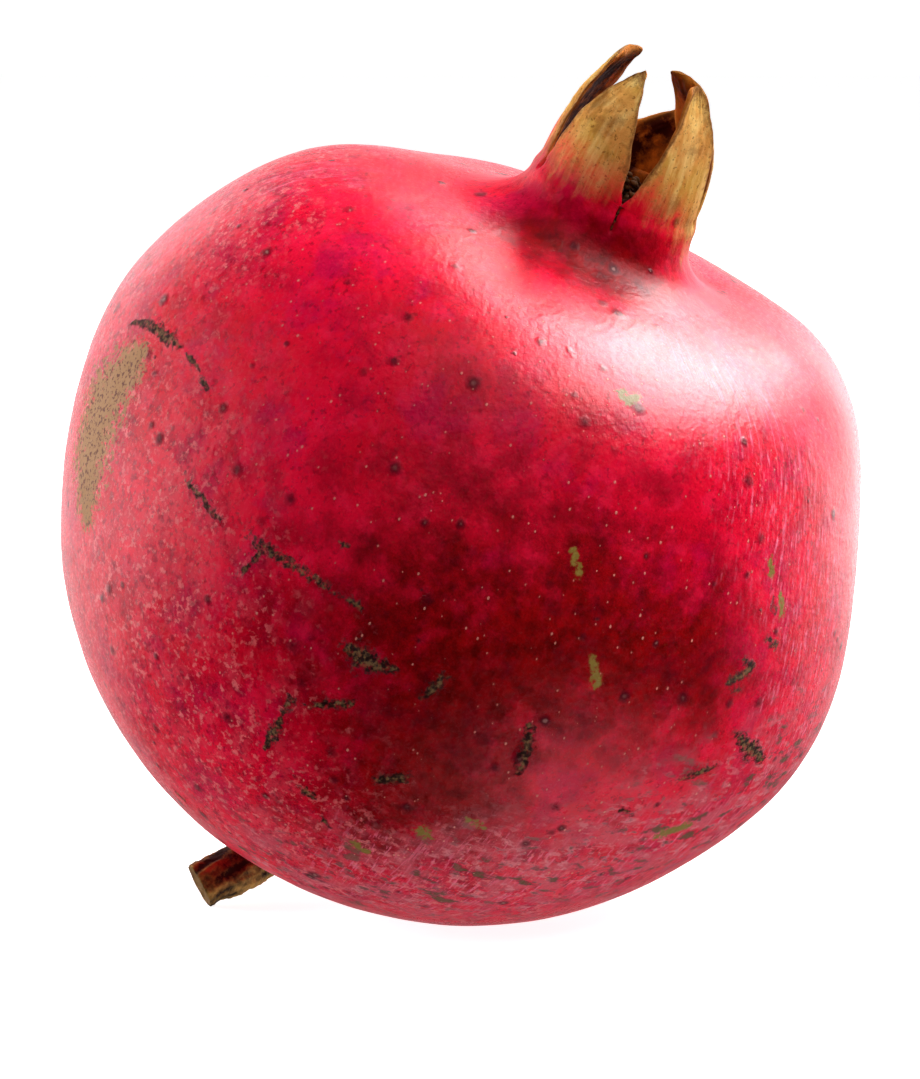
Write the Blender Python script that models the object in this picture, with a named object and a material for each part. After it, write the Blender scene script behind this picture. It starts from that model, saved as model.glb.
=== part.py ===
"""A ripe pomegranate resting on its lower side, with a crown of five dry sepals and a short woody stem.

Run it with: blender --background --python part.py
Units are metres and +Z is up. The fruit rests on a small flat spot whose middle is the world origin.
Everything is first laid out around the fruit's own axis: X is the side that faces forward, Y is the
right-hand side and Z runs from the stem to the crown. One empty then leans that axis over.
"""
import math

import bmesh
import bpy
from mathutils import Matrix, Vector

MM = 0.001

# How the fruit lies: its centre over the flat spot, and the direction its crown points in.
CENTRE = Vector((0.0, 0.0, 45.9)) * MM
CROWN_DIRECTION = Vector((0.386, -0.243, 0.890))
FORWARD = Vector((0.0, -1.0, 0.0))
GROUND_BLOCK_SIZE = 140.0 * MM

# The round body. Angles are degrees: polar runs from 0 at the crown to 180 at the stem, and azimuth
# runs from 0 at the front to 90 at the right. Heights are shares of the body's radius.
BODY_RADIUS = 47.5 * MM
COLUMNS = 44
POLAR_STEP = 6.0
CROWN_FLATTENING = 0.125
CROWN_FLATTENING_SPREAD = 32.0
SHOULDER_HEIGHT = 0.056
SHOULDER_POLAR = 45.0
SHOULDER_SPREAD = 15.0
STEM_FLATTENING = 0.034
STEM_FLATTENING_SPREAD = 40.0
# Broad swellings and hollows that keep the body from being round: polar, azimuth, spread, height.
SWELLINGS = (
    (72.0, -90.0, 23.0, 0.076),
    (116.0, -82.0, 18.0, 0.010),
    (94.0, 77.0, 20.0, 0.036),
    (44.0, 114.0, 13.0, 0.016),
    (84.0, 165.0, 28.0, 0.018),
    (44.0, 160.0, 22.0, -0.050),
    (38.0, -134.0, 14.0, -0.030),
    (20.0, 120.0, 9.0, -0.030),
)
# Soft ribs that run down from the crown: azimuth, first polar, last polar, width, height.
RIBS = (
    (-68.0, 26.0, 84.0, 8.0, 0.011),
    (80.0, 24.0, 60.0, 9.0, 0.010),
    (150.0, 26.0, 96.0, 11.0, 0.009),
    (-142.0, 28.0, 92.0, 10.0, 0.008),
)

# The neck flares out of the body and narrows into the crown's tube; the tube holds a small cup.
# The flare is tight at one azimuth and wide at the opposite one.
NECK_POLAR = 24.0
NECK_HANDLE = 3.6 * MM
TUBE_HANDLE = 4.2 * MM
HANDLE_CHANGE = 1.2 * MM
TIGHT_AZIMUTH = 112.0
NECK_RINGS = 7
TUBE_RADIUS = 10.4 * MM
TUBE_START = 46.6 * MM
RIM_RADIUS = 9.9 * MM
RIM_HEIGHT = 48.7 * MM
CUP_RADIUS = 5.1 * MM
CUP_FLOOR_RADIUS = 4.2 * MM
CUP_FLOOR = 42.6 * MM

# Each sepal starts just above the rim and leans in to its tip.
GAP = 0.3 * MM
SEPAL_THICKNESS = 1.3 * MM
SEPAL_COLUMNS = 8
SEPAL_ROWS = 9
# name: azimuth, half angle, tip radius, tip height, sideways drift, tip width share, belly, bluntness
SEPALS = {
    "sepal_front_left": (-33.0, 34.5, 5.4, 63.3, 0.4, 0.07, 0.9, 2.1),
    "sepal_front_right": (41.0, 34.0, 5.0, 63.8, 0.8, 0.15, 0.6, 1.5),
    "sepal_right": (112.0, 33.5, 2.6, 63.2, 0.6, 0.50, 0.9, 2.2),
    "sepal_back": (181.0, 30.5, 8.4, 57.4, -2.9, 0.22, 0.2, 1.3),
    "sepal_left": (-106.0, 33.0, 5.9, 63.7, -0.4, 0.50, 0.5, 2.6),
}

# The tuft of dry stamens that lines the cup.
STAMEN_OUTER = 4.8 * MM
STAMEN_INNER = 2.9 * MM
STAMEN_FOOT = 43.1 * MM
STAMEN_TOP = 51.4 * MM
STAMEN_COLUMNS = 20
STAMEN_TOOTH = 0.8 * MM

# The stem, as points measured from the fruit's centre along the world axes.
STEM_DIRECTION = Vector((-23.0, 10.1, -38.5))
STEM_RISE = 5.0 * MM
STEM_BEND = Vector((-29.0, 3.4, -41.9)) * MM
STEM_TIP = Vector((-31.9, 2.6, -43.35)) * MM
STEM_ROOT_RADIUS = 3.3 * MM
STEM_TIP_RADIUS = 2.45 * MM
STEM_SIDES = 16
STEM_RINGS = 10

# name: base colour as red, green and blue from 0 to 1, then roughness
MATERIALS = {
    "red rind": ((0.52, 0.010, 0.030), 0.34),
    "dry sepal": ((0.52, 0.26, 0.07), 0.55),
    "dry stamen": ((0.20, 0.075, 0.022), 0.80),
    "woody stem": ((0.085, 0.030, 0.010), 0.78),
}


def bump(distance, spread):
    """A smooth hill: 1 at distance 0, falling to nothing a few spreads away."""
    return math.exp(-((distance / spread) ** 2))


def ease(value):
    """A soft step from 0 to 1 for a value going from 0 to 1."""
    value = min(max(value, 0.0), 1.0)
    return value * value * (3.0 - 2.0 * value)


def direction(polar, azimuth):
    """The unit vector at a polar angle and an azimuth, both in degrees."""
    polar = math.radians(polar)
    azimuth = math.radians(azimuth)
    return Vector((math.sin(polar) * math.cos(azimuth), math.sin(polar) * math.sin(azimuth), math.cos(polar)))


def fruit_radius(polar, azimuth):
    """The distance from the fruit's centre to its skin in one direction."""
    here = direction(polar, azimuth)
    share = 1.0
    share -= CROWN_FLATTENING * bump(polar, CROWN_FLATTENING_SPREAD)
    share += SHOULDER_HEIGHT * bump(polar - SHOULDER_POLAR, SHOULDER_SPREAD)
    share -= STEM_FLATTENING * bump(180.0 - polar, STEM_FLATTENING_SPREAD)
    for swell_polar, swell_azimuth, spread, height in SWELLINGS:
        away = math.degrees(here.angle(direction(swell_polar, swell_azimuth)))
        share += height * bump(away, spread)
    for rib_azimuth, first, last, width, height in RIBS:
        turn = (azimuth - rib_azimuth + 180.0) % 360.0 - 180.0
        sideways = turn * math.sin(math.radians(polar))
        along = ease((polar - first) / 12.0) * ease((last - polar) / 16.0)
        share += height * along * bump(sideways, width)
    return BODY_RADIUS * share


def bezier(start, first_handle, second_handle, end, step):
    """A point on a cubic Bezier curve."""
    rest = 1.0 - step
    return (
        start * rest**3
        + first_handle * 3.0 * rest**2 * step
        + second_handle * 3.0 * rest * step**2
        + end * step**3
    )


def profile(azimuth):
    """The skin's outline in one half plane, from above the stem pole to the cup's floor.

    Each point is (distance from the axis, height along the axis).
    """
    points = []
    polar = 180.0 - POLAR_STEP
    while polar >= NECK_POLAR:
        radius = fruit_radius(polar, azimuth)
        angle = math.radians(polar)
        points.append(Vector((radius * math.sin(angle), radius * math.cos(angle))))
        polar -= POLAR_STEP
    start = points[-1]
    before = Vector(points[-2])
    inward = (start - before).normalized()
    tube = Vector((TUBE_RADIUS, TUBE_START))
    tightness = HANDLE_CHANGE * math.cos(math.radians(azimuth - TIGHT_AZIMUTH))
    neck_handle = start + inward * (NECK_HANDLE + tightness)
    tube_handle = tube - Vector((0.0, TUBE_HANDLE + 0.4 * tightness))
    for ring in range(1, NECK_RINGS + 1):
        step = ring / NECK_RINGS
        points.append(bezier(start, neck_handle, tube_handle, tube, step))
    points.append(Vector((RIM_RADIUS, RIM_HEIGHT)))
    points.append(Vector((CUP_RADIUS, RIM_HEIGHT)))
    points.append(Vector((0.5 * (CUP_RADIUS + CUP_FLOOR_RADIUS), 0.5 * (RIM_HEIGHT + CUP_FLOOR))))
    points.append(Vector((CUP_FLOOR_RADIUS, CUP_FLOOR)))
    return points


def mesh_object(name, verts, faces, parent):
    """A smooth-shaded mesh object, with its faces pointing outward."""
    mesh = bpy.data.meshes.new(name)
    mesh.from_pydata(verts, [], faces)
    cleaned = bmesh.new()
    cleaned.from_mesh(mesh)
    bmesh.ops.recalc_face_normals(cleaned, faces=cleaned.faces)
    cleaned.to_mesh(mesh)
    cleaned.free()
    for polygon in mesh.polygons:
        polygon.use_smooth = True
    piece = bpy.data.objects.new(name, mesh)
    piece.parent = parent
    bpy.context.scene.collection.objects.link(piece)
    return piece


def tube_faces(rings, columns):
    """Quads that join rings of the same number of points, each ring closed on itself."""
    faces = []
    for ring in range(rings - 1):
        for column in range(columns):
            following = (column + 1) % columns
            faces.append(
                (
                    ring * columns + column,
                    ring * columns + following,
                    (ring + 1) * columns + following,
                    (ring + 1) * columns + column,
                )
            )
    return faces


def fan_faces(first, columns, pole):
    """Triangles that close one ring onto a single point."""
    return [(first + column, first + (column + 1) % columns, pole) for column in range(columns)]


def make_body(axis):
    """The body, neck and crown tube, which grow as one piece."""
    outlines = []
    for column in range(COLUMNS):
        azimuth = 360.0 * column / COLUMNS
        outlines.append((math.radians(azimuth), profile(azimuth)))
    rings = len(outlines[0][1])
    verts = []
    for ring in range(rings):
        for turn, outline in outlines:
            radius, height = outline[ring]
            verts.append(Vector((radius * math.cos(turn), radius * math.sin(turn), height)))
    faces = tube_faces(rings, COLUMNS)
    stem_pole = len(verts)
    verts.append(Vector((0.0, 0.0, -fruit_radius(180.0, 0.0))))
    faces += fan_faces(0, COLUMNS, stem_pole)
    cup_pole = len(verts)
    verts.append(Vector((0.0, 0.0, CUP_FLOOR - GAP)))
    faces += fan_faces((rings - 1) * COLUMNS, COLUMNS, cup_pole)
    return mesh_object("fruit_body", verts, faces, axis)


def make_sepal(name, axis):
    """One leathery pointed sepal: a curved sheet, made solid by a Solidify modifier."""
    azimuth, half_angle, tip_radius, tip_height, drift, tip_width, belly, bluntness = SEPALS[name]
    azimuth = math.radians(azimuth)
    outward = Vector((math.cos(azimuth), math.sin(azimuth), 0.0))
    sideways = Vector((-math.sin(azimuth), math.cos(azimuth), 0.0))
    upward = Vector((0.0, 0.0, 1.0))
    verts = []
    for row in range(SEPAL_ROWS + 1):
        along = row / SEPAL_ROWS
        width = tip_width + (1.0 - tip_width) * (1.0 - along**bluntness)
        reach = RIM_RADIUS + (tip_radius * MM - RIM_RADIUS) * along**1.3
        reach += belly * MM * math.sin(math.pi * along)
        height = RIM_HEIGHT + GAP + (tip_height * MM - RIM_HEIGHT - GAP) * along
        for column in range(SEPAL_COLUMNS + 1):
            turn = math.radians(half_angle) * (2.0 * column / SEPAL_COLUMNS - 1.0)
            across = RIM_RADIUS * math.sin(turn) * width + drift * MM * along**2
            sag = RIM_RADIUS * (1.0 - math.cos(turn)) * width**2
            verts.append(outward * (reach - sag) + sideways * across + upward * height)
    faces = []
    across_count = SEPAL_COLUMNS + 1
    for row in range(SEPAL_ROWS):
        for column in range(SEPAL_COLUMNS):
            corner = row * across_count + column
            faces.append((corner, corner + 1, corner + across_count + 1, corner + across_count))
    sepal = mesh_object(name, verts, faces, axis)
    middle = sepal.data.polygons[len(faces) // 2]
    if middle.normal.dot(outward) < 0.0:
        sepal.data.flip_normals()
    wall = sepal.modifiers.new("wall", "SOLIDIFY")
    wall.thickness = SEPAL_THICKNESS
    wall.offset = -1.0
    wall.use_even_offset = True
    wall.use_quality_normals = True
    return sepal


def make_stamens(axis):
    """The ring of dry stamens, standing on the cup's floor with an uneven top."""
    rings = (
        (STAMEN_OUTER - 1.0 * MM, STAMEN_FOOT, 0.0),
        (STAMEN_OUTER - 0.3 * MM, 0.5 * (STAMEN_FOOT + RIM_HEIGHT), 0.0),
        (STAMEN_OUTER, RIM_HEIGHT, 0.0),
        (STAMEN_OUTER - 0.5 * MM, STAMEN_TOP, 1.0),
        (STAMEN_INNER, STAMEN_TOP - 0.6 * MM, 1.0),
        (STAMEN_INNER - 0.4 * MM, RIM_HEIGHT - 1.0 * MM, 0.0),
        (STAMEN_INNER - 0.8 * MM, STAMEN_FOOT, 0.0),
    )
    verts = []
    for radius, height, toothed in rings:
        for column in range(STAMEN_COLUMNS):
            turn = math.tau * column / STAMEN_COLUMNS
            tooth = STAMEN_TOOTH * toothed * math.sin(3.0 * turn) * math.cos(5.0 * turn)
            verts.append(Vector((radius * math.cos(turn), radius * math.sin(turn), height + tooth)))
    faces = tube_faces(len(rings), STAMEN_COLUMNS)
    last = (len(rings) - 1) * STAMEN_COLUMNS
    for column in range(STAMEN_COLUMNS):
        following = (column + 1) % STAMEN_COLUMNS
        faces.append((last + column, last + following, following, column))
    return mesh_object("stamens", verts, faces, axis)


def make_stem(axis):
    """The woody stem: a tapering tube that leaves the skin squarely and bends toward the left."""
    outward = STEM_DIRECTION.normalized()
    local = axis.matrix_world.to_3x3().inverted() @ outward
    polar = math.degrees(math.acos(local.z))
    azimuth = math.degrees(math.atan2(local.y, local.x))
    root = outward * (fruit_radius(polar, azimuth) + GAP)
    verts = []
    for ring in range(STEM_RINGS):
        along = ring / (STEM_RINGS - 1)
        centre = bezier(root, root + outward * STEM_RISE, STEM_BEND, STEM_TIP, along)
        ahead = bezier(root, root + outward * STEM_RISE, STEM_BEND, STEM_TIP, along + 0.01)
        radius = STEM_ROOT_RADIUS + (STEM_TIP_RADIUS - STEM_ROOT_RADIUS) * along**2
        turn_to_path = outward.rotation_difference(ahead - centre)
        side = turn_to_path @ outward.orthogonal().normalized()
        for corner in range(STEM_SIDES):
            spin = Matrix.Rotation(math.tau * corner / STEM_SIDES, 3, ahead - centre)
            verts.append(CENTRE + centre + spin @ side * radius)
    faces = tube_faces(STEM_RINGS, STEM_SIDES)
    faces.append(tuple(range(STEM_SIDES)))
    faces.append(tuple(range((STEM_RINGS - 1) * STEM_SIDES, STEM_RINGS * STEM_SIDES)))
    to_axis = axis.matrix_world.inverted()
    stem = mesh_object("stem", [to_axis @ point for point in verts], faces, axis)
    for polygon in stem.data.polygons[-2:]:
        polygon.use_smooth = False
    return stem


def cut_flat_spot(body):
    """Take off everything below the ground, which leaves the small flat spot."""
    half = 0.5 * GROUND_BLOCK_SIZE
    corners = [Vector((x, y, z)) for z in (-half, 0.0) for y in (-half, half) for x in (-half, half)]
    sides = [(0, 1, 3, 2), (4, 5, 7, 6), (0, 1, 5, 4), (2, 3, 7, 6), (0, 2, 6, 4), (1, 3, 7, 5)]
    block = mesh_object("ground_cutter", corners, sides, None)
    block.hide_render = True
    block.display_type = "WIRE"
    cut = body.modifiers.new("flat spot", "BOOLEAN")
    cut.object = block
    cut.operation = "DIFFERENCE"
    cut.solver = "EXACT"


def give_material(piece, name):
    """Give a piece one material of its own."""
    colour, roughness = MATERIALS[name]
    material = bpy.data.materials.new(f"{name} {piece.name}")
    material.use_nodes = True
    shader = material.node_tree.nodes["Principled BSDF"]
    shader.inputs["Base Color"].default_value = (*colour, 1.0)
    shader.inputs["Roughness"].default_value = roughness
    shader.inputs["Metallic"].default_value = 0.0
    piece.data.materials.append(material)


for leftover in list(bpy.data.objects):
    bpy.data.objects.remove(leftover, do_unlink=True)

crown = CROWN_DIRECTION.normalized()
front = (FORWARD - crown * FORWARD.dot(crown)).normalized()
right = crown.cross(front)
fruit_axis = bpy.data.objects.new("fruit_axis", None)
bpy.context.scene.collection.objects.link(fruit_axis)
fruit_axis.location = CENTRE
fruit_axis.rotation_mode = "QUATERNION"
fruit_axis.rotation_quaternion = Matrix((front, right, crown)).transposed().to_quaternion()
bpy.context.view_layer.update()

fruit_body = make_body(fruit_axis)
cut_flat_spot(fruit_body)
give_material(fruit_body, "red rind")
for sepal_name in SEPALS:
    give_material(make_sepal(sepal_name, fruit_axis), "dry sepal")
give_material(make_stamens(fruit_axis), "dry stamen")
give_material(make_stem(fruit_axis), "woody stem")
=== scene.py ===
# %% [markdown]
# # A ripe pomegranate
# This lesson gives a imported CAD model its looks. The CAD fruit has the right size and eight plain
# pieces. Here each piece gets a finely modelled mesh in the same place, with its own material:
# the waxy rind, the drying sepals of the crown, the dusty stamens inside it and the woody stem.

# %% Load the CAD model
import math

import bpy
import numpy as np
from mathutils import Matrix, Vector, noise


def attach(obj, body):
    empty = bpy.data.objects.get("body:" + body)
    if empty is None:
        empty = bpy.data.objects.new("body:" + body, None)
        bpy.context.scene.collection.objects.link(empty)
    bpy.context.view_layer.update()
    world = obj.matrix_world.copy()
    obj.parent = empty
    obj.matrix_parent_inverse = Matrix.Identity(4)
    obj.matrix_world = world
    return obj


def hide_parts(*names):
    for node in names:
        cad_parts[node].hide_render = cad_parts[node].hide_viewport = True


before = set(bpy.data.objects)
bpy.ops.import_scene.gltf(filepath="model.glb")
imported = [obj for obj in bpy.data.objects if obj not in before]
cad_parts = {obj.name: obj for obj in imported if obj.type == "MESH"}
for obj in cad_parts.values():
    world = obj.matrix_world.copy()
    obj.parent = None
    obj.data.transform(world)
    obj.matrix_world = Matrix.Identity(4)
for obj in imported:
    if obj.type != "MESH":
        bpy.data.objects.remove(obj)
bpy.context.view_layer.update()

MM = 0.001

# %% [markdown]
# ## The camera
# It comes first, because it says how much detail the meshes need. A long lens a little above the
# table keeps the fruit's outline nearly free of perspective, as for a catalogue picture.

# %% Camera
CENTRE = Vector((0.0, 0.0, 45.9)) * MM
CAMERA_DISTANCE = 0.55
CAMERA_RISE = math.radians(7.0)
AIM_DROP = 0.3 * MM
IMAGE_HEIGHT = 1079

camera = bpy.data.objects.new("camera", bpy.data.cameras.new("camera"))
bpy.context.scene.collection.objects.link(camera)
camera.data.lens = 152.0
camera.data.sensor_width = 36.0
camera.data.clip_start = 0.01
toward_camera = Vector((0.0, -math.cos(CAMERA_RISE), math.sin(CAMERA_RISE)))
camera.location = CENTRE - Vector((0.0, 0.0, AIM_DROP)) + toward_camera * CAMERA_DISTANCE
camera.rotation_euler = toward_camera.to_track_quat("Z", "Y").to_euler()
bpy.context.scene.camera = camera
bpy.context.scene.view_settings.view_transform = "Standard"
magnified = camera.data.lens / camera.data.sensor_width * MM / CAMERA_DISTANCE
print("one millimetre at the fruit covers", round(magnified * IMAGE_HEIGHT, 2), "dots")

# %% [markdown]
# ## Working around the fruit's own axis
# Everything on the fruit grows around the line from stem to crown, so every piece is laid out
# around Z, in millimetres: X is its front, Y its right-hand side. One matrix then leans each
# piece over, the same one for all. Textures read the upright coordinates, so a pattern runs on
# from the rind into the sepals without a break.

# %% The fruit's axis
CROWN_DIRECTION = Vector((0.386, -0.243, 0.890))

crown = CROWN_DIRECTION.normalized()
front = Vector((0.0, -1.0, 0.0))
front = (front - crown * front.dot(crown)).normalized()
lean = Matrix((front, crown.cross(front), crown)).transposed().to_4x4()
lean.translation = CENTRE


def soft_step(low, high, value):
    """0 below low, 1 above high and a soft slope between them; high may be the smaller one."""
    share = np.clip((value - low) / (high - low), 0.0, 1.0)
    return share * share * (3.0 - 2.0 * share)


def bump(distance, spread):
    """A smooth hill: 1 at distance 0, falling to nothing a few spreads away."""
    return np.exp(-((distance / spread) ** 2))


def wander(places, size, seed):
    """Smooth noise between about -1 and 1 at each place, with hills about one size apart."""
    shift = Vector((seed * 31.7, seed * -17.3, seed * 7.9))
    flat = np.asarray(places, float).reshape(-1, 3) / size
    values = [noise.noise(Vector(place) + shift) for place in flat]
    return np.array(values).reshape(np.shape(places)[:-1])


def bezier(start, first_handle, second_handle, end, step):
    """Points of a cubic Bezier curve at steps from 0 at its start to 1 at its end."""
    rest = 1.0 - step
    curve = start * rest**3 + first_handle * 3 * rest**2 * step
    return curve + second_handle * 3 * rest * step**2 + end * step**3


def ring_faces(rings, columns):
    """Quads that join rings of equally many points, each ring closed on itself."""
    ring, column = np.meshgrid(np.arange(rings - 1), np.arange(columns), indexing="ij")
    here = ring * columns + column
    beside = ring * columns + (column + 1) % columns
    return np.stack([here, beside, beside + columns, here + columns], -1).reshape(-1, 4).tolist()


def ring_normals(places):
    """Unit normals of a grid of rings, pointing outward when rings rise and columns turn left."""
    across = np.roll(places, -1, 1) - np.roll(places, 1, 1)
    along = np.gradient(places, axis=0)
    normals = np.cross(across, along)
    return normals / np.maximum(np.linalg.norm(normals, axis=-1, keepdims=True), 1e-9)


def grown_piece(name, places, faces, masks, sharp_rings=(), columns=0):
    """A smooth-shaded mesh object from places in millimetres around the fruit's axis.

    masks are numbers for each vertex, which the material reads by name. The edges of the rings
    in sharp_rings stay crisp.
    """
    mesh = bpy.data.meshes.new(name)
    mesh.from_pydata((np.asarray(places).reshape(-1, 3) * MM).tolist(), [], faces)
    mesh.polygons.foreach_set("use_smooth", [True] * len(mesh.polygons))
    for mask, values in masks.items():
        mesh.attributes.new(mask, "FLOAT", "POINT").data.foreach_set("value", np.ravel(values))
    for edge in mesh.edges:
        low, high = (corner // columns if columns else -1 for corner in edge.vertices)
        edge.use_edge_sharp = low == high and low in sharp_rings
    mesh.validate()
    mesh.transform(lean)
    piece = bpy.data.objects.new(name, mesh)
    bpy.context.scene.collection.objects.link(piece)
    print(name, "has", len(mesh.polygons), "faces")
    return piece


# %% [markdown]
# ## The shape of the rind
# A pomegranate is never quite round: it has broad swellings, hollows and soft ribs where the seed
# chambers push the rind out. A sculpted mesh would do, but a formula is easier to read and to
# change: a sphere whose radius depends on the direction, with hills added to it. It is the same
# formula as the CAD solid's, so the looks sit exactly on the solid.

# %% Radius of the rind in each direction
BODY_RADIUS = 47.5
# Broad swellings and hollows: polar angle from the crown, azimuth from the front, spread, and
# height as a share of the radius.
SWELLINGS = (
    (72.0, -90.0, 23.0, 0.076),
    (116.0, -82.0, 18.0, 0.010),
    (94.0, 77.0, 20.0, 0.036),
    (44.0, 114.0, 13.0, 0.016),
    (84.0, 165.0, 28.0, 0.018),
    (44.0, 160.0, 22.0, -0.050),
    (38.0, -134.0, 14.0, -0.030),
    (20.0, 120.0, 9.0, -0.030),
)
# Ribs that run down from the crown: azimuth, first polar angle, last polar angle, width, height.
RIBS = (
    (-68.0, 26.0, 84.0, 8.0, 0.011),
    (80.0, 24.0, 60.0, 9.0, 0.010),
    (150.0, 26.0, 96.0, 11.0, 0.009),
    (-142.0, 28.0, 92.0, 10.0, 0.008),
)


def direction(polar, azimuth):
    """Unit vectors for angles in degrees: polar from the crown, azimuth from the front."""
    polar, azimuth = np.broadcast_arrays(np.radians(polar), np.radians(azimuth))
    around = np.sin(polar)
    return np.stack([around * np.cos(azimuth), around * np.sin(azimuth), np.cos(polar)], -1)


def rind_radius(polar, azimuth):
    """Millimetres from the fruit's centre to its skin, for arrays of angles in degrees."""
    here = direction(polar, azimuth)
    # Sunk round the crown, full at the shoulder and a little flat at the stem.
    share = 1.0 - 0.125 * bump(polar, 32.0) + 0.056 * bump(polar - 45.0, 15.0)
    share = share - 0.034 * bump(180.0 - polar, 40.0)
    for swell_polar, swell_azimuth, spread, height in SWELLINGS:
        away = np.degrees(np.arccos(np.clip(here @ direction(swell_polar, swell_azimuth), -1.0, 1.0)))
        share = share + height * bump(away, spread)
    for rib_azimuth, first, last, width, height in RIBS:
        sideways = ((azimuth - rib_azimuth + 180.0) % 360.0 - 180.0) * np.sin(np.radians(polar))
        along = soft_step(first, first + 12.0, polar) * soft_step(last, last - 16.0, polar)
        share = share + height * along * bump(sideways, width)
    return BODY_RADIUS * share


# %% [markdown]
# ## Scars on the rind
# Branches and insects leave marks that heal to cork: dark dashes in chains, a tan patch where the
# skin rubbed on a twig, and small olive scabs. Each is given as a short chain of points.
# For every vertex the distance to the nearest chain becomes a mask. The mesh uses it to raise the
# cork, and the material uses it for colour, so shape and colour stay together.

# %% Chains of scars: (polar, azimuth, half width in mm) for each point
CORK_SCARS = (
    ((74.4, -73.0, 0.3), (71.8, -68.5, 0.8), (70.6, -62.0, 1.0), (70.2, -59.5, 0.4)),
    ((70.0, -57.0, 0.5), (70.4, -53.0, 0.4), (71.4, -49.5, 0.6)),
    ((82.4, -44.8, 0.3), (83.0, -42.0, 0.6), (83.5, -38.5, 0.7), (84.2, -35.2, 0.4)),
    (
        (83.4, -31.0, 0.4), (83.5, -27.0, 0.8), (83.5, -22.5, 0.8),
        (83.5, -17.5, 0.6), (83.8, -14.6, 0.3),
    ),
    ((83.6, -13.6, 0.4), (84.0, -11.4, 0.6)),
    ((84.5, -27.5, 0.4), (87.0, -28.0, 0.5), (89.0, -29.0, 0.3)),
    ((77.0, -19.0, 0.3), (77.5, -16.5, 0.5)),
    ((89.8, -10.2, 1.1), (90.2, -8.2, 1.9), (90.1, -5.8, 1.3), (89.6, -3.4, 0.5)),
    ((87.6, 3.0, 0.6), (89.6, 2.2, 0.9), (92.5, 1.0, 0.4)),
    ((90.5, 16.5, 0.7), (94.0, 17.5, 0.9), (97.5, 18.0, 0.7)),
    ((101.0, -15.0, 0.8), (103.6, -15.4, 0.4)),
    ((104.6, -15.4, 0.6), (107.6, -15.8, 1.0), (110.6, -16.2, 0.5)),
    ((100.5, -12.5, 0.4), (98.6, -9.8, 0.6), (97.0, -7.0, 0.7)),
    ((106.6, 0.6, 0.8), (104.6, 4.0, 0.9)),
    ((114.6, -8.4, 0.9), (114.8, -6.6, 0.6)),
    ((87.0, 50.5, 0.6), (89.5, 55.0, 1.5), (91.5, 59.0, 0.9)),
    ((94.6, 42.6, 0.4), (93.0, 46.6, 0.7), (91.8, 49.6, 0.4)),
    ((79.0, 44.5, 0.6), (77.5, 48.0, 1.0)),
    ((67.0, 50.6, 0.5), (69.0, 51.6, 0.6)), ((72.4, 50.0, 0.4), (73.6, 53.0, 0.7)),
    ((75.6, 46.0, 0.4), (76.6, 48.6, 0.6)), ((79.6, 45.4, 0.4), (80.4, 47.4, 0.5)),
    ((100.4, 36.0, 0.5), (101.0, 39.0, 0.4)),
    ((118.6, -4.4, 0.6), (119.4, -3.0, 0.4)),
    ((135.0, -37.0, 0.5), (135.8, -33.5, 0.6)),
    ((60.0, 172.0, 0.5), (66.0, 176.0, 0.9), (73.0, 178.0, 0.4)),
    ((95.0, -150.0, 0.7), (101.0, -147.0, 0.5)),
    ((104.0, 132.0, 0.4), (110.0, 136.0, 1.0), (113.0, 142.0, 0.5)),
    ((84.0, -118.0, 0.4), (90.0, -122.0, 0.7)),
)
TAN_PATCH = (
    (
        (75.4, -66.0, 1.6), (78.6, -67.0, 4.0), (85.0, -69.0, 6.2),
        (91.0, -67.5, 6.2), (95.5, -65.0, 4.4), (99.5, -62.5, 2.0),
    ),
    ((74.0, 100.0, 1.0), (78.0, 103.0, 2.2), (84.0, 104.0, 1.4)),
    ((118.0, -172.0, 1.5), (124.0, -168.0, 3.0), (131.0, -170.0, 1.6)),
)
OLIVE_SCABS = (
    ((43.4, 13.6, 0.6), (44.4, 15.2, 0.9), (43.2, 17.4, 0.5)),
    ((61.5, 48.6, 0.5), (64.0, 49.4, 0.6)), ((66.0, 52.2, 0.4), (69.5, 53.4, 0.7)),
    ((65.5, 13.0, 0.4), (68.5, 15.0, 0.6)),
    ((78.5, 21.0, 0.5), (82.0, 23.0, 0.7)),
    ((113.0, 10.0, 1.0), (113.8, 11.4, 0.8)),
    ((108.0, 15.0, 0.6), (108.6, 18.0, 0.5)),
    ((121.0, 2.0, 0.8), (121.6, 4.6, 0.6)),
    ((103.0, 52.0, 0.7), (105.0, 47.0, 0.9)),
    ((58.0, -150.0, 0.8), (62.0, -147.0, 1.1)),
    ((70.0, 150.0, 0.7), (72.0, 146.0, 1.0)),
)
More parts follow.
